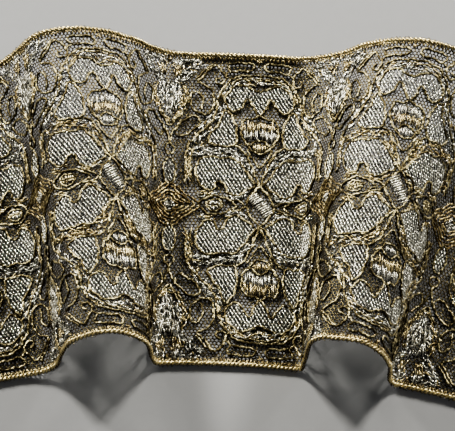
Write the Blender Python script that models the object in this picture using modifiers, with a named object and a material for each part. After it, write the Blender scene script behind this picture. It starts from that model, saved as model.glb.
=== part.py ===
"""A cut length of wide metal thread lace, lying on a flat surface with two raised folds.

The band is one sheet. Each of its long edges is bound by a round cord that lies 0.3 mm away.
Across the band runs Y, along it runs X, and up is Z. The origin is on the surface,
under the middle of the flat valley between the two folds.
"""

import math

import bmesh
import bpy
import numpy as np

MM = 0.001

# Driving sizes, in metres.
BAND_WIDTH = 125.0 * MM
REPEAT = 66.7 * MM
REPEATS = 4
FIRST_CUT = -143.5 * MM
SHEET_THICKNESS = 1.0 * MM
CORD_RADIUS = 0.7 * MM
SEAM_GAP = 0.3 * MM

# The band sweeps round a far centre in plan. Its lower edge is the inner one.
SWEEP_CREST = -19.9 * MM
LOWER_SWEEP_RADIUS = 336.6 * MM
UPPER_SWEEP_RADIUS = LOWER_SWEEP_RADIUS + BAND_WIDTH
PANEL_AXIS = 7.2 * MM

# How finely the sheet and the cords are stepped.
SHEET_COLUMNS = 132
SHEET_ROWS = 8
CORD_STEPS = 78

# Each fold line is a row of stations: where it stands across the table and how high it is.
# Columns: across (mm), height (mm).
LOWER_FOLDS = (
    (-119.6, 0.0),
    (-79.7, 0.0),
    (-69.6, 1.4),
    (-64.9, 5.8),
    (-62.7, 15.9),
    (-59.4, 24.9),
    (-48.2, 30.0),
    (-38.6, 26.0),
    (-33.6, 17.8),
    (-32.6, 8.0),
    (-30.4, 0.7),
    (-26.1, 0.0),
    (18.8, 0.0),
    (22.5, 1.1),
    (24.1, 10.9),
    (25.9, 25.2),
    (31.6, 31.0),
    (40.8, 32.4),
    (48.9, 26.6),
    (52.5, 14.5),
    (52.4, 5.1),
    (55.8, 0.0),
    (101.4, 0.0),
)
UPPER_FOLDS = (
    (-137.7, 0.0),
    (-101.4, 0.0),
    (-89.9, 1.4),
    (-80.6, 12.3),
    (-74.1, 21.6),
    (-65.2, 25.6),
    (-53.2, 23.2),
    (-40.9, 14.8),
    (-32.2, 6.2),
    (-23.5, 1.1),
    (-14.5, 0.0),
    (18.8, 0.0),
    (26.1, 1.4),
    (38.8, 9.4),
    (47.1, 18.5),
    (58.7, 25.9),
    (68.8, 27.7),
    (79.0, 25.2),
    (87.7, 17.6),
    (94.9, 8.2),
    (102.2, 1.4),
    (110.5, 0.0),
    (137.7, 0.0),
)

# Small waves in the raised cloth, so that no fold is quite even.
# Columns: height of the wave (mm), its length along (mm), its length across (mm), its start.
WAVES = (
    (0.35, 41.0, 90.0, 0.4),
    (0.25, 23.0, -61.0, 2.1),
    (0.15, 13.0, 37.0, 4.4),
)
WAVE_FULL_HEIGHT = 12.0 * MM


def monotone_slopes(at, values):
    """Slopes that keep a smooth line inside its stations, so flat stays flat."""
    step = np.diff(at)
    rise = np.diff(values) / step
    slopes = np.zeros(len(at))
    for i in range(1, len(at) - 1):
        before = rise[i - 1]
        after = rise[i]
        if before * after > 0.0:
            w1 = 2.0 * step[i] + step[i - 1]
            w2 = step[i] + 2.0 * step[i - 1]
            slopes[i] = (w1 + w2) / (w1 / before + w2 / after)
    slopes[0] = rise[0]
    slopes[-1] = rise[-1]
    return slopes


def smooth_line(at, values, where):
    """Reads the smooth line through the stations at many places."""
    slopes = monotone_slopes(at, values)
    cell = np.clip(np.searchsorted(at, where, side="right") - 1, 0, len(at) - 2)
    step = at[cell + 1] - at[cell]
    t = (where - at[cell]) / step
    h00 = (1.0 + 2.0 * t) * (1.0 - t) ** 2
    h10 = t * (1.0 - t) ** 2
    h01 = t * t * (3.0 - 2.0 * t)
    h11 = t * t * (t - 1.0)
    ends = h00 * values[cell] + h01 * values[cell + 1]
    return ends + step * (h10 * slopes[cell] + h11 * slopes[cell + 1])


class FoldLine:
    """One long edge of the band as a curve in space, read by length along the cloth."""

    def __init__(self, stations, sweep_radius, offset):
        table = np.array(stations) * MM
        chord = np.hypot(np.diff(table[:, 0]), np.diff(table[:, 1]))
        at = np.concatenate(([0.0], np.cumsum(chord)))
        fine = np.linspace(0.0, at[-1], 6000)
        across = smooth_line(at, table[:, 0], fine)
        height = smooth_line(at, table[:, 1], fine)
        depth = offset - (across - SWEEP_CREST) ** 2 / (2.0 * sweep_radius)
        self.points = np.stack([across, depth, height], axis=1)
        run = np.linalg.norm(np.diff(self.points, axis=0), axis=1)
        length = np.concatenate(([0.0], np.cumsum(run)))
        in_valley = np.abs(across - PANEL_AXIS) + 100.0 * height
        self.length = length - length[int(np.argmin(in_valley))]

    def read(self, along):
        return np.array([np.interp(along, self.length, self.points[:, k]) for k in range(3)])


LOWER_LINE = FoldLine(LOWER_FOLDS, LOWER_SWEEP_RADIUS, -0.5 * BAND_WIDTH)
UPPER_LINE = FoldLine(UPPER_FOLDS, UPPER_SWEEP_RADIUS, 0.5 * BAND_WIDTH)


def underside(along, across):
    """The cloth's underside: along runs the length in metres, across runs 0 to 1 upward."""
    low = LOWER_LINE.read(along)
    high = UPPER_LINE.read(along)
    place = low + (high - low) * across
    lift = min(1.0, place[2] / WAVE_FULL_HEIGHT)
    lift = lift * lift * (3.0 - 2.0 * lift)
    for size, length, width, start in WAVES:
        turn = along / (length * MM) + across * BAND_WIDTH / (width * MM)
        place[2] += lift * size * MM * math.sin(2.0 * math.pi * turn + start)
    return place


def upward(along, across):
    """The unit normal of the underside, pointing out of its upper face."""
    step = 0.2 * MM
    reach = 0.002
    run = underside(along + step, across) - underside(along - step, across)
    rise = underside(along, across + reach) - underside(along, across - reach)
    normal = np.cross(run, rise)
    return normal / np.linalg.norm(normal)


def plain_material(name, colour, roughness, metallic):
    material = bpy.data.materials.new(name)
    material.use_nodes = True
    shader = material.node_tree.nodes["Principled BSDF"]
    shader.inputs["Base Color"].default_value = (*colour, 1.0)
    shader.inputs["Roughness"].default_value = roughness
    shader.inputs["Metallic"].default_value = metallic
    return material


def make_sheet(name, material, collection):
    """The net and its fillings, as one even sheet on the folds."""
    edge = (2.0 * CORD_RADIUS + SEAM_GAP) / BAND_WIDTH
    grid = bmesh.new()
    bmesh.ops.create_grid(grid, x_segments=SHEET_COLUMNS, y_segments=SHEET_ROWS, size=0.5)
    for vertex in grid.verts:
        along = FIRST_CUT + (vertex.co.x + 0.5) * REPEAT * REPEATS
        across = edge + (vertex.co.y + 0.5) * (1.0 - 2.0 * edge)
        vertex.co = underside(along, across)
    mesh = bpy.data.meshes.new(name)
    grid.to_mesh(mesh)
    grid.free()
    mesh.materials.append(material)
    sheet = bpy.data.objects.new(name, mesh)
    collection.objects.link(sheet)
    solid = sheet.modifiers.new("Thickness", "SOLIDIFY")
    solid.thickness = SHEET_THICKNESS
    solid.offset = 1.0
    solid.use_even_offset = True
    mesh.shade_smooth()
    return sheet


def make_cord(name, across, material, collection):
    """A bound edge: a round cord that follows the sheet's edge up and over the folds."""
    curve = bpy.data.curves.new(name, "CURVE")
    curve.dimensions = "3D"
    curve.bevel_depth = CORD_RADIUS
    curve.bevel_resolution = 2
    curve.use_fill_caps = True
    line = curve.splines.new("POLY")
    line.points.add(CORD_STEPS)
    for step, point in enumerate(line.points):
        along = FIRST_CUT + step * REPEAT * REPEATS / CORD_STEPS
        place = underside(along, across) + upward(along, across) * CORD_RADIUS
        point.co = (*place, 1.0)
    curve.materials.append(material)
    cord = bpy.data.objects.new(name, curve)
    collection.objects.link(cord)
    return cord


def main():
    for old in list(bpy.data.objects):
        bpy.data.objects.remove(old, do_unlink=True)
    trim = bpy.data.collections.new("lace_trim")
    bpy.context.scene.collection.children.link(trim)
    lace = plain_material("lace_threads", (0.62, 0.56, 0.42), 0.42, 0.8)
    gold = plain_material("gold_binding", (0.66, 0.50, 0.26), 0.38, 0.9)
    make_sheet("lace_band", lace, trim)
    near_edge = CORD_RADIUS / BAND_WIDTH
    make_cord("lower_bound_edge", near_edge, gold, trim)
    make_cord("upper_bound_edge", 1.0 - near_edge, gold, trim)


main()
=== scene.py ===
# %% [markdown]
# # A cut length of metal thread lace
# The real thing is a wide trim of gold and silver thread: an open net, silver figures
# darned into it, thick gold cords laid round each figure, and a bound edge on both sides.
# It lies on a table and rises into two folds. Every thread here is real mesh, because in
# lace the holes are the cloth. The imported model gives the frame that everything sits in.

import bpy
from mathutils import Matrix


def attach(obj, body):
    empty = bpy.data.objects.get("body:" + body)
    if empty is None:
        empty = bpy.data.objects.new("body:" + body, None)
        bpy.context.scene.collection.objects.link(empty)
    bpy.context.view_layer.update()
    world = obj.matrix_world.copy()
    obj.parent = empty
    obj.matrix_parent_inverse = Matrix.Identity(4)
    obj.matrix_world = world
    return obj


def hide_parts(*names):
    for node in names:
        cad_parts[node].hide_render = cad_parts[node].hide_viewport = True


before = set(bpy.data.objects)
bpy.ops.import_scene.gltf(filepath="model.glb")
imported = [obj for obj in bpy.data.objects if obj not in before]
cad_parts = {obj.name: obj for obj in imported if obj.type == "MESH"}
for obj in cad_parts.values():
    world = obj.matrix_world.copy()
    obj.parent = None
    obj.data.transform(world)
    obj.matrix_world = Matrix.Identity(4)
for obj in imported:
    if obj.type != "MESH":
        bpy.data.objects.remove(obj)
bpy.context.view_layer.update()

# %% Tools and units
import math

import bpy
import numpy as np
from mathutils import Vector

MM = 0.001
CHANCE = np.random.default_rng(7)

# %% [markdown]
# ## Sizes
# The whole design hangs on a few sizes: the band's width, the pattern's repeat, and the
# net's pitch. Forty eight holes fit in one repeat, so the net meets the pattern evenly.
# The rest is worked out from these.

# %% Sizes of the lace
BAND_WIDTH = 125.0 * MM
REPEAT = 66.7 * MM
FIRST_CUT = -143.5 * MM
LAST_CUT = FIRST_CUT + 4 * REPEAT
HOLE_PITCH = REPEAT / 48
ROW_PITCH = 1.16 * MM
NET_HALF = 60.9 * MM
print("hole pitch, mm:", round(HOLE_PITCH / MM, 3))

# %% [markdown]
# ## The folds
# The cloth is a ruled surface: its two long edges are curves in space, and straight lines
# join them. Both curves are read by length along the cloth, so nothing stretches. A smooth
# line through a few stations keeps flat stretches flat. A cloth simulation could drape
# the band too, but these folds are known, and placed lines follow them more closely. They
# are the same values that the solid model uses, so each thread lands in the solid sheet.

# %% The two fold lines
SWEEP_CREST = -19.9 * MM
LOWER_SWEEP_RADIUS = 336.6 * MM
UPPER_SWEEP_RADIUS = LOWER_SWEEP_RADIUS + BAND_WIDTH
PANEL_AXIS = 7.2 * MM

# Columns: across the table (mm), height (mm).
LOWER_FOLDS = (
    (-119.6, 0.0), (-79.7, 0.0), (-69.6, 1.4), (-64.9, 5.8), (-62.7, 15.9), (-59.4, 24.9),
    (-48.2, 30.0), (-38.6, 26.0), (-33.6, 17.8), (-32.6, 8.0), (-30.4, 0.7), (-26.1, 0.0),
    (18.8, 0.0), (22.5, 1.1), (24.1, 10.9), (25.9, 25.2), (31.6, 31.0), (40.8, 32.4),
    (48.9, 26.6), (52.5, 14.5), (52.4, 5.1), (55.8, 0.0), (101.4, 0.0),
)
UPPER_FOLDS = (
    (-137.7, 0.0), (-101.4, 0.0), (-89.9, 1.4), (-80.6, 12.3), (-74.1, 21.6), (-65.2, 25.6),
    (-53.2, 23.2), (-40.9, 14.8), (-32.2, 6.2), (-23.5, 1.1), (-14.5, 0.0), (18.8, 0.0),
    (26.1, 1.4), (38.8, 9.4), (47.1, 18.5), (58.7, 25.9), (68.8, 27.7), (79.0, 25.2),
    (87.7, 17.6), (94.9, 8.2), (102.2, 1.4), (110.5, 0.0), (137.7, 0.0),
)
# Small waves in the raised cloth. Columns: height, length along, length across, start.
WAVES = ((0.35, 41.0, 90.0, 0.4), (0.25, 23.0, -61.0, 2.1), (0.15, 13.0, 37.0, 4.4))
WAVE_FULL_HEIGHT = 12.0 * MM


def station_slopes(at, values):
    """Slopes that keep a smooth line inside its stations."""
    step = np.diff(at)
    rise = np.diff(values) / step
    slopes = np.zeros(len(at))
    for i in range(1, len(at) - 1):
        if rise[i - 1] * rise[i] > 0.0:
            w1, w2 = 2 * step[i] + step[i - 1], step[i] + 2 * step[i - 1]
            slopes[i] = (w1 + w2) / (w1 / rise[i - 1] + w2 / rise[i])
    slopes[0], slopes[-1] = rise[0], rise[-1]
    return slopes


def smooth_line(at, values, where):
    slopes = station_slopes(at, values)
    cell = np.clip(np.searchsorted(at, where, side="right") - 1, 0, len(at) - 2)
    step = at[cell + 1] - at[cell]
    t = (where - at[cell]) / step
    ends = (1 + 2 * t) * (1 - t) ** 2 * values[cell] + t * t * (3 - 2 * t) * values[cell + 1]
    return ends + step * (t * (1 - t) ** 2 * slopes[cell] + t * t * (t - 1) * slopes[cell + 1])


def fold_line(stations, sweep_radius, offset):
    """One long edge in space: its points, and each point's length along the cloth."""
    table = np.array(stations) * MM
    at = np.r_[0.0, np.cumsum(np.hypot(*np.diff(table, axis=0).T))]
    fine = np.linspace(0.0, at[-1], 6000)
    across, height = (smooth_line(at, table[:, k], fine) for k in (0, 1))
    depth = offset - (across - SWEEP_CREST) ** 2 / (2 * sweep_radius)
    points = np.stack([across, depth, height], axis=1)
    length = np.r_[0.0, np.cumsum(np.linalg.norm(np.diff(points, axis=0), axis=1))]
    return points, length - length[int(np.argmin(np.abs(across - PANEL_AXIS) + 100 * height))]


LOWER_LINE = fold_line(LOWER_FOLDS, LOWER_SWEEP_RADIUS, -0.5 * BAND_WIDTH)
UPPER_LINE = fold_line(UPPER_FOLDS, UPPER_SWEEP_RADIUS, 0.5 * BAND_WIDTH)


def underside(along, across):
    """The cloth's underside; across runs from 0 at the lower edge to 1 at the upper."""
    low, high = (
        np.stack([np.interp(along, line[1], line[0][:, k]) for k in range(3)], axis=-1)
        for line in (LOWER_LINE, UPPER_LINE)
    )
    place = low + (high - low) * across[..., None]
    lift = np.clip(place[..., 2] / WAVE_FULL_HEIGHT, 0, 1)
    lift = lift * lift * (3 - 2 * lift)
    for size, length, width, start in WAVES:
        turn = along / (length * MM) + across * BAND_WIDTH / (width * MM)
        place[..., 2] += lift * size * MM * np.sin(2 * math.pi * turn + start)
    return place


def lay(along, width, height):
    """Lays points of the flat cloth on the folds: width from its middle, height over it."""
    across = width / BAND_WIDTH + 0.5
    place = underside(along, across)
    run = underside(along + 0.3 * MM, across) - underside(along - 0.3 * MM, across)
    rise = underside(along, across + 0.004) - underside(along, across - 0.004)
    out = np.cross(run, rise)
    out /= np.linalg.norm(out, axis=-1, keepdims=True)
    return place + out * height[..., None], out


crest = underside(np.linspace(FIRST_CUT, LAST_CUT, 800), np.zeros(800))[:, 2].max()
print("highest fold, mm:", round(crest / MM, 1))

# %% [markdown]
# ## Camera and light
# A long lens stands far off, 65 degrees above the table, so the near and the far edge look
# the same size. Metal thread only shines where it has something to reflect, and it only
# looks round where one side stays dark. Light from all round would make it grey. So two
# soft lamps stand low beyond the upper edge, one at each side, and a weak one fills in from
# the front. The low light also keeps the table under the net in shade.

# %% Camera
PIXELS_ACROSS, PIXEL = 455, 0.3623 * MM
PICTURE_WIDTH = PIXELS_ACROSS * PIXEL
LENS, SENSOR = 600.0, 36.0
ELEVATION = math.radians(65.0)
LOOK_AT = np.array([-4.53, -3.1, 0.5]) * MM

camera_data = bpy.data.cameras.new("camera")
camera_data.lens = LENS
camera_data.sensor_width = SENSOR
camera_data.clip_end = 100.0
camera = bpy.data.objects.new("camera", camera_data)
distance = PICTURE_WIDTH * LENS / SENSOR
camera.location = LOOK_AT + distance * np.array([0, -math.cos(ELEVATION), math.sin(ELEVATION)])
camera.rotation_euler = (math.pi / 2 - ELEVATION, 0, 0)
bpy.context.scene.collection.objects.link(camera)
bpy.context.scene.camera = camera
print("camera stands off, m:", round(distance, 2))

# %% Lamps


def soft_lamp(name, place, size, watts, tint):
    """A square area lamp that faces the lace."""
    data = bpy.data.lights.new(name, "AREA")
    data.shape = "SQUARE"
    data.size = size
    data.energy = watts
    data.color = tint
    lamp = bpy.data.objects.new(name, data)
    lamp.location = place
    lamp.rotation_euler = (-Vector(place)).to_track_quat("-Z", "Y").to_euler()
    bpy.context.scene.collection.objects.link(lamp)


# Columns: place (m), size (m), power (W), tint.
LAMPS = {
    "left_lamp": ((-0.92, 1.16, 0.76), 0.32, 86.0, (1.0, 0.98, 0.92)),
    "right_lamp": ((0.92, 1.16, 0.76), 0.32, 68.0, (1.0, 0.98, 0.92)),
    "near_lamp": ((0.5, -0.9, 0.9), 0.9, 1.0, (0.96, 0.98, 1.0)),
}
ROOM_TINT, ROOM_STRENGTH = (0.92, 0.94, 1.0, 1), 0.08

for name, (place, size, watts, tint) in LAMPS.items():
    soft_lamp(name, place, size, watts, tint)
world = bpy.data.worlds.new("studio")
world.use_nodes = True
room = world.node_tree.nodes["Background"].inputs
room["Color"].default_value, room["Strength"].default_value = ROOM_TINT, ROOM_STRENGTH
bpy.context.scene.world = world
print("lamps:", ", ".join(LAMPS))

# %% [markdown]
# ## Material maths
# A finish is a small sum: some noise, some tone, a mix of two colours. It could be wired by
# hand in the shader editor. The class below wraps a socket instead, so that such a sum is
# written as plain arithmetic and the nodes are added behind it.

# %% A socket that does arithmetic


class Value:
    """A number on its way through a material."""

    def __init__(self, finish, socket):
        self.finish, self.socket = finish, socket

    def _sum(self, operation, first, second=0.0):
        return self.finish.node("ShaderNodeMath", {"operation": operation}, {0: first, 1: second})

    def __add__(self, other):
        return self._sum("ADD", self, other)

    def __sub__(self, other):
        return self._sum("SUBTRACT", self, other)

    def __rsub__(self, other):
        return self._sum("SUBTRACT", other, self)

    def __mul__(self, other):
        return self._sum("MULTIPLY", self, other)

    def clipped(self, low=0.0, high=1.0):
        return self._sum("MINIMUM", self._sum("MAXIMUM", self, low), high)

    def wave(self):
        return self._sum("SINE", self)

    __radd__, __rmul__ = __add__, __mul__


# %% A finish and its nodes


class Finish:
    """A material that is being mixed."""

    def __init__(self, name):
        self.material = bpy.data.materials.new(name)
        self.material.use_nodes = True
        self.tree = self.material.node_tree
        self.shader = self.tree.nodes["Principled BSDF"]

    def node(self, kind, settings, inputs, out=0):
        """Adds one node: its type, its settings, then what goes into its sockets."""
        made = self.tree.nodes.new(kind)
        for key, setting in settings.items():
            setattr(made, key, setting)
        for key, what in inputs.items():
            self.join(made.inputs[key], what)
        return Value(self, made.outputs[out])

    def join(self, socket, what):
        if isinstance(what, Value):
            self.tree.links.new(what.socket, socket)
        else:
            socket.default_value = what

    def spots(self, size, detail=2.0):
        """Soft noise, 0 to 1, with spots about size metres wide."""
        place = self.node("ShaderNodeTexCoord", {}, {}, "Object")
        put = {"Vector": place, "Scale": 1 / size, "Detail": detail}
        return self.node("ShaderNodeTexNoise", {}, put)

    def read(self, name):
        """A number that the mesh carries for each thread."""
        return self.node("ShaderNodeAttribute", {"attribute_name": name}, {}, "Fac")

    def blend(self, share, first, second):
        """A mix of two colours. Its sockets 0, 6 and 7 are the share and the two colours."""
        put = {0: share, 6: first, 7: second}
        return self.node("ShaderNodeMix", {"data_type": "RGBA"}, put, 2)

    def ridges(self, height, distance):
        """A bump for the shader's Normal."""
        return self.node("ShaderNodeBump", {}, {"Height": height, "Distance": distance})

    def done(self, **sockets):
        for name, what in sockets.items():
            self.join(self.shader.inputs[name.replace("_", " ")], what)
        return self.material


# %% [markdown]
# ## The table
# The lace needs something to lie on and to throw its shadows on. A plain plane is enough.
# It lies a hair below the threads, and a little noise keeps it from looking like paper.

# %% The table
TABLE_SIZE = 4.0
TABLE_TOP = -0.2 * MM
TABLE_GREYS = ((0.245, 0.245, 0.242, 1), (0.265, 0.265, 0.262, 1))

table_finish = Finish("pale_table")
grain = table_finish.spots(4.0 * MM, 3.0)
pale = table_finish.blend(grain, *TABLE_GREYS)
bpy.ops.mesh.primitive_plane_add(size=TABLE_SIZE, location=(0, 0, TABLE_TOP))
table = bpy.context.active_object
table.name = "table"
table.data.materials.append(table_finish.done(Base_Color=pale, Roughness=0.85))
print("table size, m:", TABLE_SIZE)

# %% [markdown]
# ## Threads
# Net, stitches and cords are all the same thing: a line in the flat cloth, given a
# thickness and laid on the folds. A Blender curve with a bevel does this well for one cord,
# but it is slow for fifty thousand. So the helper takes many lines at once as an array of
# points (along, width, height), puts a small ring round each point, and joins the rings.
# The mesh also carries four numbers for the finish: each thread's tone, how warm it is,
# the length along it, and how near a point is to the thread's crown, from which the
# finishes paint shade on the flanks. Every side of every thread gets its own place on one
# flat map, so that its finish can be baked for export.

# %% Lines on the flat cloth


def unit(vectors):
    return vectors / (np.linalg.norm(vectors, axis=-1, keepdims=True) + 1e-12)


def on_the_band(lines):
    """Which short threads lie between the two cut ends."""
    along = np.asarray(lines)[..., 0]
    return ((along > FIRST_CUT) & (along < LAST_CUT)).all(axis=1)


def with_height(flat, height):
    """Adds a height, in metres, to points of the flat cloth."""
    height = np.broadcast_to(height, flat.shape[:-1])
    return np.concatenate([flat, height[..., None]], axis=-1)


# %% Room for each thread on the map
MAP_SPARE = 1.03


def shelves(boxes):
    """Sets boxes (how many, wide, tall) side by side on shelves, none over another."""
    area = sum(many * wide * tall for many, wide, tall in boxes)
    board = max(MAP_SPARE * math.sqrt(area), max(wide for _, wide, _ in boxes))
    x, y, shelf = 0.0, 0.0, 0.0
    spots = []
    for many, wide, tall in boxes:
        own = np.empty((many, 2))
        for k in range(many):
            if x + wide > board:
                x, y, shelf = 0.0, y + shelf, 0.0
            own[k] = x, y
            x, shelf = x + wide, max(shelf, tall)
        spots.append(own)
    return spots, max(board, y + shelf)


# %% Thread helper
FIELDS = ("tone", "warm", "wind", "crown")
MAP_GAP = 0.15
END_SIZE = 0.42
TWIST_DEPTH = 0.20


class Skein:
    """Gathers threads and turns them into one mesh."""

    def __init__(self, name):
        self.name, self.batches = name, []

    def spin(self, lines, radius, sides=3, tone=0.5, warm=0.0, caps=True, flatten=1.0, ply=0.0):
        """lines is (threads, points, 3); radius, tone and warm may differ by point.

        ply is the length of one turn of a two strand twist, or 0 for a round thread.
        """
        lines = np.asarray(lines, float)
        if not len(lines):
            return
        many, steps = lines.shape[:2]
        place, out = lay(lines[..., 0], lines[..., 1], lines[..., 2])
        ahead = unit(np.gradient(place, axis=1))
        side = unit(np.cross(ahead, out))
        up = np.cross(side, ahead)
        angle = 2 * math.pi * (np.arange(sides) / sides + 0.25)
        ring = side[:, :, None] * np.cos(angle)[:, None]
        ring = ring + flatten * up[:, :, None] * np.sin(angle)[:, None]
        wind = np.linalg.norm(np.diff(lines, axis=1), axis=-1).cumsum(axis=1)
        wind = np.concatenate([np.zeros((many, 1)), wind], axis=1)
        shape = (many, steps, sides)
        round_it = np.broadcast_to(np.broadcast_to(radius, (many, steps))[..., None], shape)
        if ply:
            turned = 2 * (angle - 2 * math.pi * wind[..., None] / ply)
            round_it = round_it * (1 + TWIST_DEPTH * np.cos(turned))
        points = place[:, :, None] + round_it[..., None] * ring
        # crown is 1 on top of a thread and 0 underneath; the finishes paint shade on the flanks
        # from it.
        crown = np.broadcast_to(0.5 + 0.5 * np.sin(angle), shape)
        per_ring = [np.broadcast_to(x, (many, steps)) for x in (tone, warm, wind)]
        fields = [np.repeat(x, sides) for x in per_ring] + [crown.ravel()]
        self.batches.append((points.reshape(-1, 3), shape, caps, fields))

    def faces(self):
        """Corner lists and map places for the sides of the threads and for their ends."""
        boxes = [
            (shape[0], shape[1] - 1 + 2 * caps + MAP_GAP, shape[2] + MAP_GAP)
            for _, shape, caps, _ in self.batches
        ]
        spots, board = shelves(boxes)
        first, corners, places, sizes = 0, [], [], []
        for (points, (many, steps, sides), caps, _), spot in zip(self.batches, spots):
            index = first + np.arange(len(points)).reshape(many, steps, sides)
            first += len(points)
            after = np.roll(index, -1, axis=2)
            quads = (index[:, :-1], index[:, 1:], after[:, 1:], after[:, :-1])
            along = spot[:, 0, None, None] + np.arange(steps - 1)[None, :, None]
            around = spot[:, 1, None, None] + np.arange(sides)[None, None, :]
            along, around = np.broadcast_arrays(along, around)
            square = ((0, 0), (1, 0), (1, 1), (0, 1))
            spread = [np.stack([along + u, around + v], axis=-1) for u, v in square]
            corners.append(np.stack(quads, axis=-1).ravel())
            places.append(np.stack(spread, axis=-2).reshape(-1, 2))
            sizes.append(np.full(many * (steps - 1) * sides, 4))
            turn = 2 * math.pi * np.arange(sides) / sides
            disc = 0.5 + END_SIZE * np.stack([np.cos(turn), np.sin(turn)], axis=-1)
            for k, end in enumerate((index[:, 0], index[:, -1, ::-1]) if caps else ()):
                corners.append(end.ravel())
                places.append((spot[:, None] + (steps - 1 + k, 0) + disc[None]).reshape(-1, 2))
                sizes.append(np.full(many, sides))
        return np.concatenate(corners), np.concatenate(places) / board, np.concatenate(sizes)

    def weave(self, finish, slot):
        """Makes the object."""
        points = np.concatenate([batch[0] for batch in self.batches])
        corners, places, sizes = self.faces()
        mesh = bpy.data.meshes.new(self.name)
        mesh.vertices.add(len(points))
        mesh.vertices.foreach_set("co", points.astype(np.float32).ravel())
        mesh.loops.add(len(corners))
        mesh.loops.foreach_set("vertex_index", corners.astype(np.int32))
        mesh.polygons.add(len(sizes))
        starts = np.r_[0, np.cumsum(sizes)[:-1]]
        mesh.polygons.foreach_set("loop_start", starts.astype(np.int32))
        mesh.update(calc_edges=True)
        mesh.shade_smooth()
        layout = mesh.uv_layers.new(name="OFBake")
        layout.uv.foreach_set("vector", places.astype(np.float32).ravel())
        for k, name in enumerate(FIELDS):
            values = np.concatenate([batch[3][k] for batch in self.batches])
            kept = mesh.attributes.new(name, "FLOAT", "POINT")
            kept.data.foreach_set("value", values.astype(np.float32))
        mesh.materials.append(finish)
        piece = bpy.data.objects.new(self.name, mesh)
        bpy.context.scene.collection.objects.link(piece)
        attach(piece, "root")
        print(self.name, "triangles:", int((sizes - 2).sum()))
        return piece


# %% [markdown]
# ## Metal finishes
# The thread is a fibre core with a thin metal strip wound round it. Its crown shows the
# metal, bright with wear in places, and its flanks get painted shade along with the dark
# of old metal. One even metal would do for a single cord, but here it would melt the
# threads into one grey field: the painted dark flanks are what makes each thread stand
# out from the next. Slow noise and fine flecks wear some stretches brighter than others,
# and a raised tone adds painted sheen where some threads ride high. A ripple along the
# thread, as a bump, is the winding of the strip.

# %% Finishes
WINDING_PITCH = 0.5 * MM
CLOUD, FLECK = 7.0 * MM, 0.8 * MM
RIPPLE_DEPTH = 0.03 * MM


def metal_thread(name, dark, plain, bright, warm=None, roughness=0.28, rubbed_and_lit_width=0.30):
    """dark is the flanks' colour: painted shade, with the tarnish of old metal. plain and bright
    are the crown's.

    The last number, from 0 to 1, is how wide the strip along the crown is that shows the
    metal before the flanks turn to painted shade. A thread whose tone is below 0 gets
    painted shade on its crown too, as it lies low.
    """
    finish = Finish(name)
    tone, crown = finish.read("tone"), finish.read("crown")
    cloudy, fine = finish.spots(CLOUD, 2.0), finish.spots(FLECK, 1.0)
    # Crown colour: wear from noise and tone, plus painted sheen where the tone was raised on high
    # parts.
    wear_and_sheen = (tone * 0.9 + cloudy * 0.6 + fine * 1.6 - 1.38).clipped()
    # shade: painted shade on the flanks, with old metal's tarnish; a tone below 0 shades the crown
    # too.
    shade = ((crown - 1 + rubbed_and_lit_width) * 2.8 + fine * 1.0 - 0.5 + tone.clipped(-1.0, 0.0)).clipped()
    colour = finish.blend(shade, dark, finish.blend(wear_and_sheen, plain, bright))
    if warm:
        golden = finish.blend(shade, warm[0], finish.blend(wear_and_sheen, warm[1], warm[2]))
        colour = finish.blend(finish.read("warm"), colour, golden)
    ripple = (finish.read("wind") * (2 * math.pi / WINDING_PITCH)).wave()
    return finish.done(
        Base_Color=colour,
        Metallic=0.92,
        Roughness=(fine * 0.25 + roughness - 0.1).clipped(0.15, 0.9),
        Normal=finish.ridges(ripple * 0.5 + fine, RIPPLE_DEPTH),
    )


# Each metal: its flanks' colour, painted shade with the tarnish of old metal; its plain crown;
# and its crown bright with wear and painted sheen.
OLD_GOLD = ((0.016, 0.011, 0.003, 1), (0.058, 0.043, 0.0125, 1), (0.94, 0.79, 0.37, 1))
BROWN_GOLD = ((0.020, 0.012, 0.003, 1), (0.075, 0.048, 0.013, 1), (0.84, 0.66, 0.27, 1))
BRIGHT_SILVER = ((0.014, 0.012, 0.005, 1), (0.058, 0.051, 0.028, 1), (1.0, 0.965, 0.78, 1))
NET_GOLD = ((0.007, 0.005, 0.002, 1), (0.046, 0.035, 0.0105, 1), (0.38, 0.295, 0.113, 1))

net_finish = metal_thread("net_gold", *NET_GOLD, roughness=0.32, rubbed_and_lit_width=0.26)
cord_finish = metal_thread("pale_gold_cord", *OLD_GOLD, rubbed_and_lit_width=0.30)
silver_finish = metal_thread(
    "bright_silver", *BRIGHT_SILVER, warm=BROWN_GOLD, roughness=0.24, rubbed_and_lit_width=0.42
)
brown_finish = metal_thread("brown_gold", *BROWN_GOLD, rubbed_and_lit_width=0.40)
print("finishes made:", len(bpy.data.materials))

# %% [markdown]
# ## The chart
# The ornament is an ordinary mirrored one, so only a quarter of it is charted: distances
# from the panel's axis and from the band's middle line, in millimetres. Each line has a
# handful of turning points, and a smooth curve runs through them. A line that starts or
# ends on an axis is carried over it without a kink. The column of figures between two
# panels has its axis half a repeat away. Curves could be drawn by hand in the editor, but a
# table of points is short, and every copy of a figure follows it.

# %% Charted lines of a quarter panel
COLUMN = 33.35

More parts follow.
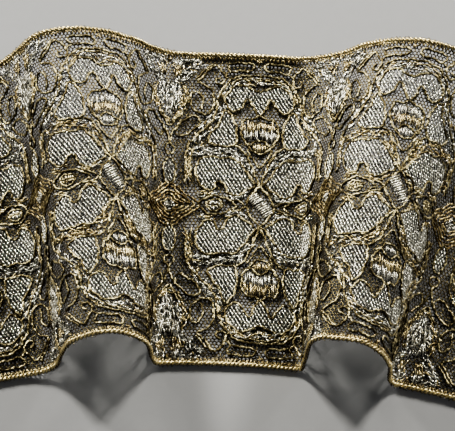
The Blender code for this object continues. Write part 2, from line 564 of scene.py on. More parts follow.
# Each line: closed or open, thickness, then its turning points (from the axis, from the middle).
CHART = {
    "scallop": (False, 1.0, (
        (0, 46.6), (2.5, 47.6), (5.1, 49.0), (8.7, 48.8), (11.2, 46.2), (12.8, 43.2), (11.6, 39.8),
        (9.2, 38.2), (6.6, 39.8), (4.7, 43.2), (3.6, 43.2), (2.0, 39.4), (0, 36.8))),
    "crown_line": (False, 1.0, (
        (0, 53.4), (4.6, 53.2), (8.7, 52.4), (11.6, 49.8), (14.0, 46.4), (15.3, 42.6))),
    "crown_inner": (False, 0.75, ((0, 52.3), (4.4, 52.0), (7.8, 51.2), (10.2, 49.2))),
    "flat_loop": (True, 0.95, (
        (11.8, 57.6), (7.4, 58.4), (2.9, 58.3), (1.8, 56.8), (3.0, 55.4), (6.8, 55.2),
        (10.4, 54.8))),
    "loop_stem": (False, 0.9, ((10.4, 54.8), (11.8, 53.7), (12.4, 52.8))),
    "corner_leaf": (False, 1.0, (
        (22.9, 50.1), (19.5, 53.8), (16.2, 57.3), (14.2, 55.4), (12.4, 52.8), (12.6, 50.7),
        (13.9, 49.3), (15.9, 50.2), (15.5, 51.6), (14.3, 52.2))),
    "corner_second": (False, 0.85, ((23.6, 51.0), (20.4, 54.6), (17.3, 57.8))),
    "side_loop": (False, 1.0, (
        (22.9, 50.1), (20.2, 48.9), (17.6, 46.9), (16.7, 43.4), (16.9, 40.0), (18.1, 37.4),
        (20.2, 36.7), (22.8, 37.9), (24.9, 39.6), (25.3, 42.6), (24.9, 45.4), (23.0, 46.4))),
    "side_loop_stem": (False, 0.9, ((21.2, 38.3), (20.8, 41.0), (20.9, 44.0), (23.0, 46.4))),
    "block_frame": (False, 1.0, (
        (0, 36.8), (2.2, 35.4), (4.9, 35.3), (6.5, 32.8), (6.7, 29.2), (5.9, 26.4), (4.2, 24.4))),
    "bud_top": (False, 0.95, ((0, 26.6), (1.6, 26.2), (3.0, 24.8), (4.2, 24.4), (6.0, 25.6))),
    "bud_foot": (False, 0.95, ((0, 21.2), (2.0, 21.7), (3.4, 23.0), (4.2, 24.4))),
    "wing": (True, 1.0, (
        (12.6, 38.8), (10.0, 35.8), (8.5, 31.0), (8.6, 26.0), (9.4, 24.2), (12.6, 23.9),
        (16.6, 24.3), (18.9, 26.6), (16.9, 30.2), (14.6, 33.4), (13.7, 36.8))),
    "neck_line": (False, 1.0, (
        (8.9, 24.2), (6.4, 22.6), (4.6, 19.8), (3.1, 16.4), (1.9, 13.2), (0.9, 10.4), (0, 8.0))),
    "neck_inner": (False, 0.8, ((4.6, 23.0), (3.1, 19.8), (1.4, 17.2), (0, 15.8))),
    "heart": (True, 1.0, (
        (2.0, 8.6), (4.2, 12.6), (6.9, 16.6), (9.6, 19.0), (14.0, 18.9), (17.4, 19.5), (20.9, 18.9),
        (23.0, 16.2), (23.4, 12.2), (21.6, 8.2), (18.9, 5.9), (16.5, 6.7), (15.9, 9.2), (14.3, 9.6),
        (12.9, 8.2), (11.6, 5.2), (8.7, 3.9), (5.4, 5.9))),
    "crossing": (False, 1.0, (
        (4.2, 12.6), (1.9, 9.6), (0, 8.0), (-2.2, 5.6), (-4.0, 3.0), (-5.0, 0))),
    "waist_leaf": (False, 1.0, ((8.7, 0), (12.4, 2.7), (16.4, 3.7), (19.9, 2.7), (22.4, 0))),
    "waist_line": (False, 0.9, ((5.4, 0), (7.0, 1.4), (9.4, 2.2), (12.4, 2.7))),
    "waist_oval": (True, 0.8, ((13.6, 0), (14.5, 1.7), (16.5, 2.2), (18.5, 1.7), (19.4, 0))),
    "panel_side": (False, 1.0, (
        (27.6, 8.6), (26.8, 11.4), (27.1, 15.2), (27.0, 20.0), (26.3, 23.6), (23.9, 26.8),
        (21.0, 30.0), (18.1, 33.0), (16.0, 37.4), (15.3, 42.6))),
    "panel_side_inner": (False, 0.8, (
        (25.0, 9.4), (25.4, 14.0), (25.4, 18.6), (24.6, 21.6), (23.0, 22.8))),
    "column_leaf": (False, 0.95, (
        (COLUMN, 18.8), (31.4, 16.6), (30.8, 13.2), (31.6, 9.8), (COLUMN, 7.6))),
    "column_loop": (False, 0.95, (
        (COLUMN, 20.0), (31.9, 20.6), (31.7, 22.8), (COLUMN, 24.8), (COLUMN + 0.8, 27.6),
        (COLUMN + 1.6, 30.6))),
    "paisley": (True, 1.0, (
        (30.9, 28.8), (29.6, 27.4), (27.4, 28.2), (24.9, 29.8), (22.5, 32.0), (21.6, 34.0),
        (22.9, 35.6), (25.3, 35.8), (27.4, 34.4), (29.6, 32.4), (30.9, 30.6))),
    "bracket": (False, 1.0, ((COLUMN, 31.6), (31.2, 33.8), (28.4, 37.2))),
    "bracket_second": (False, 0.8, ((COLUMN, 33.0), (31.4, 34.8), (29.2, 37.6))),
}
print("charted lines:", len(CHART))

# %% [markdown]
# ## Smooth curves and their copies
# A charted line is filled in to even steps with a curve through its points. It is then
# repeated for each panel, and mirrored over the panel's axis and the middle line. The
# middle of the real panel sits a little above the band's middle, so the chart shifts too.

# %% Curves and copies
CENTRE_LIFT = 1.0 * MM
CHART_HALF = 62.5
CURVE_STEPS = 24
PANELS = tuple(range(-2, 3))
QUARTERS = [(panel, left, below) for panel in PANELS for left in (0, 1) for below in (0, 1)]
print("quarter panels:", len(QUARTERS))


def beyond(end, nearest):
    """A point past a line's end: its mirror image where the end is on an axis."""
    for k, axis in ((0, 0.0), (1, 0.0), (0, COLUMN)):
        if abs(end[k] - axis) < 1e-6:
            mirror = list(nearest)
            mirror[k] = 2 * axis - mirror[k]
            return tuple(mirror)
    return tuple(2 * a - b for a, b in zip(end, nearest))


def carried(points, closed):
    """Adds a point before and after, so that the curve knows where it comes from."""
    if closed:
        return [points[-1], *points, points[0], points[1]]
    return [beyond(points[0], points[1]), *points, beyond(points[-1], points[-2])]


def curve_through(points, closed, step):
    """Even steps along a centripetal curve through the points, in millimetres."""
    p = np.array(carried(list(points), closed), float)
    found = []
    for p0, p1, p2, p3 in zip(p, p[1:], p[2:], p[3:]):
        t1 = np.linalg.norm(p1 - p0) ** 0.5 + 1e-9
        t2 = t1 + np.linalg.norm(p2 - p1) ** 0.5 + 1e-9
        t3 = t2 + np.linalg.norm(p3 - p2) ** 0.5 + 1e-9
        t = np.linspace(t1, t2, CURVE_STEPS, endpoint=False)[:, None]
        a1 = (t1 - t) / t1 * p0 + t / t1 * p1
        a2 = (t2 - t) / (t2 - t1) * p1 + (t - t1) / (t2 - t1) * p2
        a3 = (t3 - t) / (t3 - t2) * p2 + (t - t2) / (t3 - t2) * p3
        b1 = (t2 - t) / t2 * a1 + t / t2 * a2
        b2 = (t3 - t) / (t3 - t1) * a2 + (t - t1) / (t3 - t1) * a3
        found.append((t2 - t) / (t2 - t1) * b1 + (t - t1) / (t2 - t1) * b2)
    fine = np.vstack([*found, p[-2][None]])
    run = np.r_[0, np.cumsum(np.linalg.norm(np.diff(fine, axis=0), axis=1))]
    even = np.linspace(0, run[-1], max(3, int(round(run[-1] / step)) + 1))
    return np.stack([np.interp(even, run, fine[:, k]) for k in (0, 1)], axis=1)


def placed(points, panel, left, below):
    """Chart millimetres to metres on the flat cloth, for one quarter of one panel."""
    points = np.asarray(points, float)
    along = panel * REPEAT + (-1 if left else 1) * points[..., 0] * MM
    width = (-1 if below else 1) * points[..., 1] * MM
    width = width + CENTRE_LIFT * (1 - np.abs(points[..., 1] / CHART_HALF) ** 2)
    return np.stack([along, width], axis=-1)


def short_threads(points, height, quarter):
    """Short threads of one quarter, without those that reach past a cut end."""
    lines = with_height(placed(points, *quarter), height)
    return lines[on_the_band(lines)]


# %% [markdown]
# ## Where the figures are
# Net and silver stitches share one lattice, since a stitch is a thread passed round a bar
# of the net. So each bar is asked whether it lies inside one of the filled figures: a line
# from it to one side crosses the outline an odd number of times if it does.

# %% The lattice and the filled figures
FILLED = ("scallop", "wing", "heart", "column_leaf")
OUTLINE_STEP = 0.6
NET_ROWS = int(2 * NET_HALF / ROW_PITCH)
NET_COLUMNS = int(round((LAST_CUT - FIRST_CUT) / HOLE_PITCH))
SLOPE = 0.40 * MM
UPRIGHT = ROW_PITCH - SLOPE

row, column = np.meshgrid(np.arange(NET_ROWS), np.arange(NET_COLUMNS), indexing="ij")
bar_x = FIRST_CUT + (column + 0.5 * (row % 2)) * HOLE_PITCH
bar_y = -NET_HALF + row * ROW_PITCH + 0.5 * (2 * NET_HALF - NET_ROWS * ROW_PITCH)
bar_middle = np.stack([bar_x, bar_y + 0.5 * UPRIGHT], axis=-1)


def inside(points, outline):
    """Which points lie inside a closed outline."""
    near = ((points > outline.min(axis=0)) & (points < outline.max(axis=0))).all(axis=-1)
    x, y = points[near].T
    hit = np.zeros(x.shape, bool)
    for (x0, y0), (x1, y1) in zip(outline, np.roll(outline, -1, axis=0)):
        if y0 != y1:
            crosses = (y0 > y) != (y1 > y)
            hit ^= crosses & (x < (x1 - x0) * (y - y0) / (y1 - y0) + x0)
    found = np.zeros(points.shape[:-1], bool)
    found[near] = hit
    return found


in_figure = np.zeros(bar_x.shape, bool)
for name in FILLED:
    closed, _, points = CHART[name]
    outline = curve_through(points, closed, OUTLINE_STEP)
    for quarter in QUARTERS:
        in_figure |= inside(bar_middle, placed(outline, *quarter))
print("bars of the net:", in_figure.size, "in figures:", int(in_figure.sum()))

# %% [markdown]
# ## The net
# A machine net has six sided holes in staggered rows. Each hole owns three threads: one
# upright and the two that slope up from its top. A sheet with a see-through pattern would
# be lighter, but it has no thickness and throws no true shadow. So one short list of those
# three threads, repeated over the lattice, makes the whole net. They are flat, like the
# strip wound round them, and they differ a little in tone. Inside a figure the silver pulls
# them thin, and their tone drops to 0 there, as painted shade under the silver. The net is
# made in three lengths, to keep each mesh to a handy size.

# %% Net ground
NET_RADIUS = 0.29 * MM
NET_HEIGHT = 0.40 * MM
NET_FLATTEN = 0.4
NET_UNEVEN = 0.045 * MM
NET_TONES = (0.15, 1.15)
UPRIGHT_SHARE = 1.12
PULLED_THIN = 0.5
NET_PIECES = 3


def uneven(points, size):
    """Shifts net knots a little, the same for every thread that meets there."""
    x, y = points[..., 0] / MM, points[..., 1] / MM
    drift = np.sin(x * 1.7 + y * 0.9) + np.sin(x * 0.43 - y * 1.3 + 2.0)
    other = np.sin(x * 1.1 - y * 1.9 + 1.0) + np.sin(x * 0.31 + y * 0.7)
    return points + size * np.stack([drift, other], axis=-1)


def net_thread(x0, y0, x1, y1):
    ends = np.stack([np.stack([x0, y0], -1), np.stack([x1, y1], -1)], axis=-2)
    return with_height(uneven(ends.reshape(-1, 2, 2), NET_UNEVEN), NET_HEIGHT)


top = bar_y + UPRIGHT
peak_x, peak_y = bar_x + 0.5 * HOLE_PITCH, bar_y + ROW_PITCH
BARS = (
    (net_thread(bar_x, bar_y, bar_x, top), UPRIGHT_SHARE),
    (net_thread(bar_x, top, peak_x, peak_y), 1.0),
    (net_thread(peak_x, peak_y, bar_x + HOLE_PITCH, top), 1.0),
)
thin = np.where(in_figure.ravel(), PULLED_THIN, 1.0)
net_pieces = []
for number in range(NET_PIECES):
    skein = Skein(f"net_ground_{number + 1}")
    start = FIRST_CUT + number * (LAST_CUT - FIRST_CUT) / NET_PIECES
    end = start + (LAST_CUT - FIRST_CUT) / NET_PIECES
    for lines, thickness in BARS:
        centre = lines[:, :, 0].mean(axis=1)
        chosen = (centre >= start) & (centre < end) & on_the_band(lines)
        in_the_open = (thin[chosen] > PULLED_THIN)[:, None]
        # Bars under the silver get tone 0, so their crowns stay plain and dark: painted shade.
        tones = CHANCE.uniform(*NET_TONES, (int(chosen.sum()), 1)) * in_the_open
        radius = (NET_RADIUS * thickness * thin[chosen])[:, None]
        skein.spin(lines[chosen], radius, 3, tone=tones, caps=False, flatten=NET_FLATTEN)
    net_pieces.append(skein.weave(net_finish, "lace_threads"))

# %% [markdown]
# ## Outline cords
# A thick gold cord is laid round every figure and caught down with tiny stitches, so it
# wavers and its thickness comes and goes. A smooth tube would look like wire. So each
# charted line becomes a cord of two twisted strands, and two slow waves push it aside and
# two more swell it. Where it leaves the cut length it is cut off, as scissors would.

# %% Outline cords
CORD_RADIUS = 0.53 * MM
CORD_HEIGHT = 0.80 * MM
CORD_STEP = 0.60
CORD_PLY = 2.9 * MM
CORD_END = 0.65
# Columns: size (mm for the sway, a share for the swell), turn for each step.
CORD_SWAY = ((0.18, 0.7), (0.14, 1.7))
CORD_SWELL = ((0.12, 1.5), (0.10, 2.6))
SPLIT_AT = -10 * MM


def slow_waves(table, steps, starts):
    return sum(size * np.sin(steps * rate + start) for (size, rate), start in zip(table, starts))


def runs_inside(path):
    """Splits a path where it leaves the cut length."""
    kept = (path[:, 0] > FIRST_CUT) & (path[:, 0] < LAST_CUT)
    edges = np.flatnonzero(np.diff(np.r_[0, kept.astype(int), 0]))
    return [path[a:b] for a, b in zip(edges[::2], edges[1::2]) if b - a > 2]


def lay_cord(skein, path, thickness, height=CORD_HEIGHT, sides=6):
    """One cord along a path on the flat cloth, with its own unevenness."""
    for part in runs_inside(path):
        steps = np.arange(len(part))
        run = unit(np.gradient(part, axis=0))
        phase = CHANCE.uniform(0, 6.28, 4)
        sway = slow_waves(CORD_SWAY, steps, phase[:2]) + CHANCE.normal(0, 0.05, len(part))
        part = part + np.stack([-run[:, 1], run[:, 0]], axis=1) * sway[:, None] * MM
        swell = 1 + slow_waves(CORD_SWELL, steps, phase[2:])
        swell[[0, -1]] *= CORD_END
        tone = 0.5 + 0.35 * np.sin(steps * 0.4 + phase[0]) + CHANCE.uniform(-0.5, 0.5, len(part))
        radius = CORD_RADIUS * thickness * swell
        lifted = with_height(part, height)[None]
        skein.spin(lifted, radius[None], sides, tone=tone[None], ply=CORD_PLY)


cords = [Skein("outline_cords_left"), Skein("outline_cords_right")]
for closed, thickness, points in CHART.values():
    curve = curve_through(points, closed, CORD_STEP)
    for quarter in QUARTERS:
        path = placed(curve, *quarter)
        lay_cord(cords[int(path[:, 0].mean() > SPLIT_AT)], path, thickness)
cord_pieces = [skein.weave(cord_finish, "gold_outline") for skein in cords]

# %% [markdown]
# ## Silver fillings
# Inside each figure a silver thread is darned round the upright bars of the net. Each
# pass shows as one slanted stitch, thick in its middle and painted brighter there as a
# highlight, and its way back to the next bar stays low and is painted dark as shade. It
# closes most of each hole, and leaves a painted dark dot in the silver. A bump on a plain
# face could hint at this, but the light wouldn't run over each stitch.

# %% Silver fillings
STITCH_RADIUS = 0.39 * MM
STITCH_HALF = 0.92 * MM
STITCH_LEAN = 0.21 * MM
STITCH_STEPS = np.array((-1.0, -0.42, 0.42, 1.0))
STITCH_DRIFT, STITCH_TURN = 0.09 * MM, 0.16 * MM
STITCH_FOOT, STITCH_BOW = 0.56, 0.28
STITCH_TONES = (0.5, 1.9)
STITCH_TAPER = 0.45
RETURN_RADIUS, RETURN_HEIGHT = 0.34 * MM, 0.30 * MM
# Return threads get a tone below 0: painted shade, dark right over their crowns.
LOW_IN_PAINTED_SHADE = -1.0
CUT_MARGIN = 0.5 * MM

bars = bar_middle[in_figure]
bars = bars[(bars[:, 0] > FIRST_CUT + CUT_MARGIN) & (bars[:, 0] < LAST_CUT - CUT_MARGIN)]
count = len(bars)
lean = STITCH_LEAN * (1 + 0.5 * np.sin(bars[:, 0] / (9 * MM)) * np.cos(bars[:, 1] / (7 * MM)))
reach = STITCH_HALF * CHANCE.uniform(0.85, 1.12, count)
t = STITCH_STEPS[None]
stitch = bars[:, None] + np.stack([-lean[:, None] * t, reach[:, None] * t], axis=-1)
stitch += CHANCE.normal(0, STITCH_DRIFT, (count, 1, 2))
stitch[..., 0] += STITCH_TURN * CHANCE.normal(0, 1, (count, 1)) * t
bow = (STITCH_FOOT + STITCH_BOW * (1 - t**2)) * MM * CHANCE.uniform(0.9, 1.1, (count, 1))
fillings = Skein("silver_fillings")
# Each stitch is brighter in its middle, where it rides highest: a painted highlight.
tones = CHANCE.uniform(*STITCH_TONES, (count, 1)) + 0.25 * (1 - t**2)
taper = 1 - STITCH_TAPER * np.abs(t) ** 1.5
fat = STITCH_RADIUS * taper * CHANCE.uniform(0.78, 1.16, (count, 1))
fillings.spin(with_height(stitch, bow), fat, 4, tone=tones)
back = np.stack([stitch[:, 0], stitch[:, -1] - (0, 2 * ROW_PITCH)], axis=1)
fillings.spin(with_height(back, RETURN_HEIGHT), RETURN_RADIUS, 3, tone=LOW_IN_PAINTED_SHADE, caps=False)
filling_piece = fillings.weave(silver_finish, "silver_filling")
print("stitches in the figures:", count)

# %% [markdown]
# ## Long and short stitch
# The block over each bud, the bud, and the tall drop in each column are worked in tiers of
# upright stitches that bite into each other. The thread changes from silver to brown gold
# between tiers. A face with a striped finish would look printed here. So uprights are found
# by cutting each shape's outline, and every tier takes its share of each upright, with its
# ends set a little at chance so that the tiers interlock.

# %% Stitched shapes
# Each shape: outline, lean (across per up), the warmth of its tiers from the inside out,
# whether gold and silver change places in every second panel, how thick and how loose.
TIERED = {
    "block": (((0, 34.4), (4.6, 34.4), (5.9, 32.4), (6.0, 29.4), (5.4, 27.4), (4.4, 26.2),
               (2.8, 26.6), (1.4, 27.6), (0, 27.9)), 0.0, (0.05, 0.95), True, 1.0, 0.1),
    "bud": (((0, 25.6), (1.6, 25.2), (2.9, 24.2), (2.6, 22.9), (1.4, 22.3), (0, 22.1)),
            0.0, (1.0,), True, 1.0, 0.1),
    "oval": (((13.9, 0), (14.8, 1.4), (16.5, 1.9), (18.2, 1.4), (19.1, 0)),
             0.25, (0.1,), True, 1.1, 0.2),
    "drop": (((COLUMN, 35.0), (31.6, 36.8), (30.0, 39.6), (29.0, 43.0), (28.9, 46.4), (30.0, 49.2),
              (31.6, 49.4), (COLUMN, 49.8)), 0.16, (0.0, 0.1, 0.0, 0.1, 0.0, 0.0), False, 1.4, 0.5),
    "tassel": (((31.9, 52.2), (31.9, 58.2), (30.6, 58.8), (28.6, 58.4), (27.6, 56.0),
                (29.2, 52.8)), 0.10, (1.0, 0.9, 0.1), False, 1.3, 0.2),
    "diamond_heart": (((COLUMN, 2.6), (30.4, 0), (COLUMN, 0)), 0.3, (0.0,), False, 1.3, 0.3),
}
TIER_SPACING = 0.60
TIER_STEPS = np.array((0.0, 0.3, 0.7, 1.0))
TIER_ARC = np.sin(math.pi * TIER_STEPS)
TIER_FOOT, TIER_BOW = 0.62, 0.34
TIER_RADII = (0.25, 0.38)
TIER_TONES = (0.3, 1.7)
SHORTEST = 0.5


def cut_uprights(outline, spacing, lean):
    """Where leaning uprights enter and leave an outline: (uprights, 2 ends, 2)."""
    outline = np.asarray(outline, float)
    slanted = outline + np.outer(outline[:, 1], (lean, 0))
    found = []
    for x in np.arange(slanted[:, 0].min() + 0.5 * spacing, slanted[:, 0].max(), spacing):
        heights = []
        for (x0, y0), (x1, y1) in zip(slanted, np.roll(slanted, -1, axis=0)):
            if (x0 > x) != (x1 > x):
                heights.append(y0 + (x - x0) / (x1 - x0) * (y1 - y0))
        heights.sort()
        for low, high in zip(heights[::2], heights[1::2]):
            if high - low > SHORTEST:
                found.append(((x - lean * low, low), (x - lean * high, high)))
    return np.array(found).reshape(-1, 2, 2)


satin = Skein("long_and_short_stitch")
for outline, lean, tiers, swaps, thick, loose in TIERED.values():
    ends = cut_uprights(outline, TIER_SPACING * thick, lean)
    for quarter in QUARTERS:
        for k, warmth in enumerate(tiers):
            if swaps and quarter[0] % 2:
                warmth = 1 - warmth
            first = k / len(tiers) + CHANCE.normal(-0.05, 0.08, (len(ends), 1))
            last = (k + 1) / len(tiers) + CHANCE.normal(0.06, 0.09, (len(ends), 1))
            t = first + (last - first) * TIER_STEPS[None]
            line = ends[:, None, 0] * (1 - t[..., None]) + ends[:, None, 1] * t[..., None]
            line[..., 0] += CHANCE.normal(0, 0.13, (len(ends), 1))
            line[..., 0] += CHANCE.normal(0, 0.12, (len(ends), 1)) * TIER_ARC
            line[..., 0] += CHANCE.normal(0, loose, (len(ends), 1)) * (2 * TIER_STEPS - 1)
            bow = (TIER_FOOT + TIER_BOW * TIER_ARC**0.7) * MM
            lines = short_threads(line, bow, quarter)
            size = (len(lines), 1)
            fat = CHANCE.uniform(*TIER_RADII, size) * (0.6 + 0.4 * TIER_ARC)
            warm = np.clip(warmth + CHANCE.normal(0, 0.15, size), 0, 1)
            tones = CHANCE.uniform(*TIER_TONES, size)
            satin.spin(lines, fat * thick * MM, 4, tone=tones, warm=warm)
print("tiered shapes:", len(TIERED))

# %% [markdown]
# The block in the very middle of each panel is satin stitch on the slant. It isn't
# mirrored, so it can't come from the quarter chart and has its own few numbers: a row of
# long stitches, each set down a little further along the slant.

# %% Slanted block in the middle of each panel
BLOCK_STITCHES = 12
BLOCK_FROM, BLOCK_STEP = np.array((-4.5, 3.1)), np.array((0.53, -0.67))
BLOCK_RUN = np.array((3.6, 2.5))
BLOCK_RADIUS = 0.44 * MM
BLOCK_WARMTH = 0.15

for panel in PANELS:
    at = BLOCK_FROM + np.arange(BLOCK_STITCHES)[:, None] * BLOCK_STEP
    at = at + CHANCE.normal(0, 0.12, at.shape)
    t = TIER_STEPS[None, :, None]
    line = at[:, None] + BLOCK_RUN * t * CHANCE.uniform(0.9, 1.15, (len(at), 1, 1))
    bow = (0.7 + 0.4 * TIER_ARC**0.7) * MM
    lines = short_threads(line, bow, (panel, 0, 0))
    tones = CHANCE.uniform(1.0, 1.8, (len(lines), 1))
    satin.spin(lines, BLOCK_RADIUS, 4, tone=tones, warm=BLOCK_WARMTH)
satin_piece = satin.weave(silver_finish, "silver_filling")

# %% [markdown]
# ## Rough bands
# Between the double outlines the thread is darned every which way: short bowed passes
# that follow the band, silver in some bands and brown gold in others. Hair or scattered
# points could fill a band too. A seeded throw along its middle line does the same, keeps
# each pass a true thread, and comes out alike every time.

# %% Rough bands
# Columns: middle line, half width, share of silver and the same in every second panel,
# passes for each millimetre.
BANDS = {
    "crown": (((0, 50.2), (5.0, 50.9), (9.2, 50.0), (12.0, 46.8),
               (13.9, 43.4)), 1.3, 0.55, 0.75, 2.6),
    "shoulder": (((14.3, 41.2), (15.4, 38.0), (17.4, 34.6), (20.4, 31.0), (22.8, 27.6),
                  (24.0, 24.8)), 1.8, 0.85, 0.75, 2.9),
    "under_wing": (((24.2, 21.7), (19.4, 21.7), (13.4, 21.4), (9.0, 21.0), (5.6, 17.4),
                    (3.2, 12.8)), 1.8, 0.95, 0.20, 3.3),
    "panel_side": (((26.0, 22.4), (26.2, 17.6), (26.2, 13.6), (25.9, 9.8)), 0.9, 0.15, 0.30, 2.2),
    "petal": (((29.8, 49.9), (27.6, 52.4), (24.8, 55.2), (21.4, 58.2)), 1.5, 0.93, 0.93, 3.0),
    "column_side": (((27.6, 47.8), (27.0, 44.6), (27.3, 41.2), (28.4, 38.6)), 0.8, 0.1, 0.1, 2.4),
    "bracket": (((33.0, 33.0), (31.0, 35.2), (28.6, 38.0)), 0.7, 0.1, 0.1, 2.0),
    "edge_petal": (((31.6, 58.9), (27.2, 59.3), (22.6, 58.9)), 0.9, 0.9, 0.9, 1.6),
    "waist": (((4.6, 5.4), (7.2, 3.2), (9.6, 2.8), (12.0, 4.2)), 0.9, 0.8, 0.4, 2.4),
    "waist_out": (((22.4, 4.6), (19.2, 4.7), (16.8, 5.2)), 0.8, 0.3, 0.3, 2.2),
    "drop_side": (((29.2, 38.2), (28.8, 42.2), (29.2, 46.6)), 0.6, 0.7, 0.7, 1.6),
}
PASS_STEPS = np.array((-0.5, -0.2, 0.2, 0.5))
GUIDE_STEP = 0.25
FILL_SHARE = 0.9
PASS_LENGTHS = (1.5, 3.0)
PASS_TURN, PASS_BEND = 0.42, 2.2
PASS_FOOT, PASS_ARCHES = 0.45, (0.10, 0.60)
PASS_RADII = (0.32, 0.52)
PASS_TONES = (0.2, 1.7)

rough = {"silver": Skein("silver_bands"), "gold": Skein("brown_gold_bands")}
for points, half_width, *silver_shares, density in BANDS.values():
    guide = curve_through(points, False, GUIDE_STEP)
    heading = unit(np.gradient(guide, axis=0))
    passes = int(len(guide) * GUIDE_STEP * density * FILL_SHARE)
    for quarter in QUARTERS:
        share = (np.arange(passes) + CHANCE.uniform(0, 1, passes)) / passes
        at = (share * len(guide)).astype(int)
        offset = CHANCE.uniform(-1, 1, passes) * half_width
        length = CHANCE.uniform(*PASS_LENGTHS, passes)
        ahead = heading[at]
        beside = np.stack([-ahead[:, 1], ahead[:, 0]], axis=1)
        centre = guide[at] + beside * offset[:, None]
        course = ahead + beside * CHANCE.normal(0, PASS_TURN, (passes, 1))
        bend = (0.25 - PASS_STEPS**2)[None, :, None] * CHANCE.normal(0, PASS_BEND, (passes, 1, 1))
        swing = course[:, None] * PASS_STEPS[None, :, None] * length[:, None, None]
        flat = placed(centre[:, None] + swing + beside[:, None] * bend, *quarter)
        arch = CHANCE.uniform(*PASS_ARCHES, (passes, 1)) * (1 - (2 * PASS_STEPS[None]) ** 2)
        lines = with_height(flat, (PASS_FOOT + arch) * MM)
        silver = CHANCE.uniform(0, 1, passes) < silver_shares[quarter[0] % 2]
        keep = on_the_band(lines)
        for kind, chosen in (("silver", keep & silver), ("gold", keep & ~silver)):
            some = lines[chosen]
            fat = 0.55 + 0.45 * np.cos(math.pi * PASS_STEPS)[None]
            fat = fat * CHANCE.uniform(*PASS_RADII, (len(some), 1)) * MM
            rough[kind].spin(some, fat, 4, tone=CHANCE.uniform(*PASS_TONES, (len(some), 1)))
silver_bands = rough["silver"].weave(silver_finish, "silver_filling")

# %% [markdown]
# ## Rosettes and nested diamonds
# A little knot of gold stitches sits by the edge on every axis: a few short threads that
# cross over one point. Where two columns of figures meet the middle line, thin cords lie
# one inside the other as a wide diamond. One corner of it is drawn, at five sizes, and the
# same copies as before make the rest.

# %% Rosettes
ROSETTES = ((0.0, 59.2), (COLUMN, 59.2))
ROSETTE_STITCHES = 9
ROSETTE_REACH = np.array([[-0.2, 0.3, 0.8, 1.2]])
ROSETTE_BOW = np.array([1.0, 1.2, 0.95, 0.55]) * MM
ROSETTE_RADIUS = 0.27 * MM

for x, y in ROSETTES:
    for quarter in [q for q in QUARTERS if not q[1]]:
        turn = CHANCE.uniform(0, 6.28, (ROSETTE_STITCHES, 1))
        line_x = x + ROSETTE_REACH * np.cos(turn)
        line_y = y + ROSETTE_REACH * 0.9 * np.sin(turn)
        lines = short_threads(np.stack([line_x, line_y], axis=-1), ROSETTE_BOW, quarter)
        tones = CHANCE.uniform(0.2, 1.0, (len(lines), 1))
        rough["gold"].spin(lines, ROSETTE_RADIUS, 4, tone=tones)
gold_bands = rough["gold"].weave(brown_finish, "gold_outline")

# %% Nested diamonds
DIAMOND_HALF = (11.2, 8.6)
DIAMOND_SHARES = (0.32, 0.49, 0.67, 0.85, 1.03)
DIAMOND_THICKNESS, DIAMOND_HEIGHT = 0.84, 0.65 * MM

diamonds = Skein("diamond_cords")
for share in DIAMOND_SHARES:
    wide, tall = (share * size for size in DIAMOND_HALF)
    corner = ((COLUMN, tall), (COLUMN - 0.52 * wide, 0.50 * tall), (COLUMN - wide, 0))
    side = curve_through(corner, False, CORD_STEP)
    for quarter in QUARTERS:
        lay_cord(diamonds, placed(side, *quarter), DIAMOND_THICKNESS, DIAMOND_HEIGHT, 5)
diamond_piece = diamonds.weave(brown_finish, "gold_outline")

# %% [markdown]
# ## Bound edges
# Each long edge is bound: two gold threads twist round each other along it, a zigzag
# thread ties them to the net, and tiny loops stand out past them. One tube with a bump
# would show a smooth outline against the table, so these are threads like the rest.

# %% Bound edges
TWIST_PITCH, TWIST_STEP = 3.0 * MM, 0.33 * MM
TWIST_OUT, TWIST_UP = 0.46 * MM, 0.40 * MM
TWIST_RADII = (0.42, 0.66)
EDGE_LINE, EDGE_HEIGHT = 61.7 * MM, 0.90 * MM
ZIGZAG_PITCH, ZIGZAG_RADIUS = HOLE_PITCH, 0.30 * MM
ZIGZAG_ENDS = (59.6, 61.5)
LOOP_PITCH, LOOP_RADIUS, LOOP_HALF = 1.7 * MM, 0.13 * MM, 0.45 * MM
LOOP_LINE, LOOP_REACHES = 62.2 * MM, (0.2, 1.1)


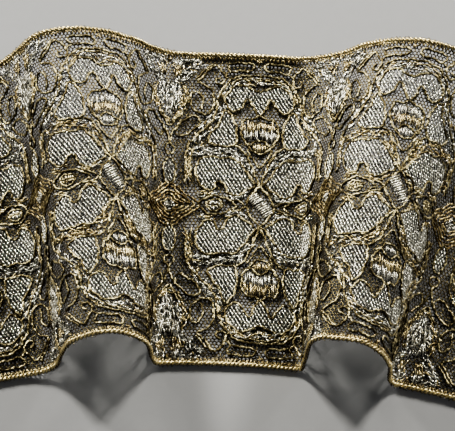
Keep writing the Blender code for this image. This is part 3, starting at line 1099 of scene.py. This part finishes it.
def bind_edge(name, side):
    skein = Skein(name)
    along = np.arange(FIRST_CUT, LAST_CUT, TWIST_STEP)
    turn = 2 * math.pi * along / TWIST_PITCH
    for start in (0.0, math.pi):
        across = side * (EDGE_LINE + TWIST_OUT * np.cos(turn + start))
        high = EDGE_HEIGHT + TWIST_UP * np.sin(turn + start)
        # Each strand is brighter on top of the twist and darker where it dips under the other:
        # painted light and shade.
        tone = 1.1 + 0.4 * np.sin(turn + start) + CHANCE.uniform(-0.6, 0.6, len(along))
        line = np.stack([along, across, high], axis=1)[None]
        skein.spin(line, CHANCE.uniform(*TWIST_RADII, len(along)) * MM, 5, tone=tone[None])
    steps = np.linspace(0, 1, 4)[None]
    for k, (inner, outer) in enumerate((ZIGZAG_ENDS, ZIGZAG_ENDS[::-1])):
        root = np.arange(FIRST_CUT + ZIGZAG_PITCH, LAST_CUT - ZIGZAG_PITCH, ZIGZAG_PITCH)
        x = (root + 0.5 * k * ZIGZAG_PITCH)[:, None] + 0.5 * ZIGZAG_PITCH * steps
        x = x + CHANCE.normal(0, 0.10 * MM, (len(x), 1))
        y = side * MM * (inner + (outer - inner) * steps)
        y = y + CHANCE.normal(0, 0.12 * MM, (len(x), 1))
        flat = np.stack([x, y], axis=-1)
        bow = (0.55 + 0.4 * np.sin(math.pi * steps)) * MM
        tones = CHANCE.uniform(0.1, 1.1, (len(x), 1))
        skein.spin(with_height(flat, bow), ZIGZAG_RADIUS, 4, tone=tones)
    root = np.arange(FIRST_CUT + LOOP_PITCH, LAST_CUT - LOOP_PITCH, LOOP_PITCH)
    root = root + CHANCE.normal(0, 0.3 * MM, len(root))
    reach = CHANCE.uniform(*LOOP_REACHES, (len(root), 1)) * MM
    arc = np.linspace(0, 1, 5)[None]
    flat = np.stack([
        root[:, None] + LOOP_HALF * (2 * arc - 1),
        side * (LOOP_LINE + reach * np.sin(math.pi * arc)),
    ], axis=-1)
    bow = 0.6 * MM + 0.3 * reach * np.sin(math.pi * arc)
    tones = CHANCE.uniform(0.3, 1, (len(root), 1))
    skein.spin(with_height(flat, bow), LOOP_RADIUS, 3, tone=tones)
    return skein.weave(brown_finish, "gold_binding")


lower_edge = bind_edge("lower_edge_binding", -1)
upper_edge = bind_edge("upper_edge_binding", 1)

# %% [markdown]
# ## The plain solids
# The new pieces take the places of the three plain solids, which stay hidden for
# collisions.

worked = [*cord_pieces, filling_piece, satin_piece, silver_bands, gold_bands, diamond_piece]
for piece in [*net_pieces, *worked]:
    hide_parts("lace_band")
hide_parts("lower_bound_edge")
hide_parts("upper_bound_edge")
